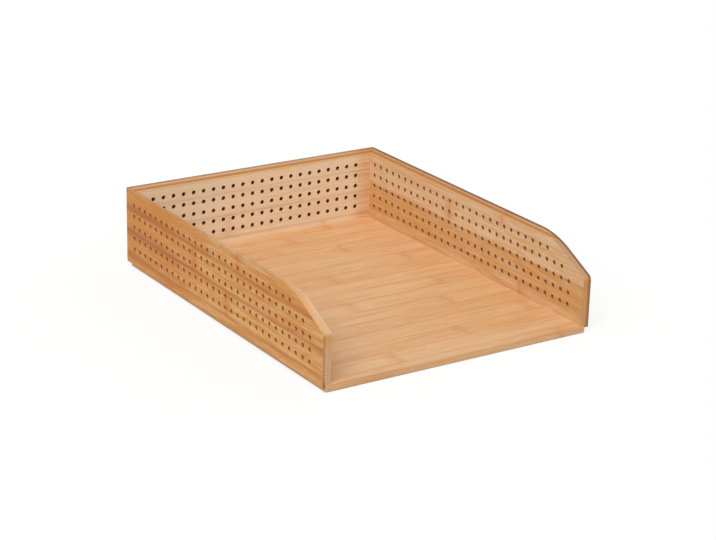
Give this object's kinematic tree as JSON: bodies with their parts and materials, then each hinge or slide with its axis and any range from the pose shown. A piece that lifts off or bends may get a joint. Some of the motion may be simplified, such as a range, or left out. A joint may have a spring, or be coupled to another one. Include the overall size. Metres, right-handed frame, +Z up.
{
  "type": "letter tray",
  "caption": "Open-fronted bamboo letter tray with perforated walls and sloped side fronts; its inset foot seats in the stepped top edge of a like tray, so that trays stack.",
  "frame": {"origin": "on the table under the middle of the tray", "axes": "+Z up; +Y from the open front towards the back; +X to the right, seen from the front"},
  "size_m": [0.256, 0.325, 0.072],
  "materials": {
    "bamboo_walls": "satin lacquered bamboo",
    "bamboo_base": "satin lacquered bamboo"
  },
  "bodies": {
    "root": {"base_panel": "bamboo_base", "left_side_panel": "bamboo_walls", "right_side_panel": "bamboo_walls", "back_panel": "bamboo_walls"}
  },
  "joints": []
}
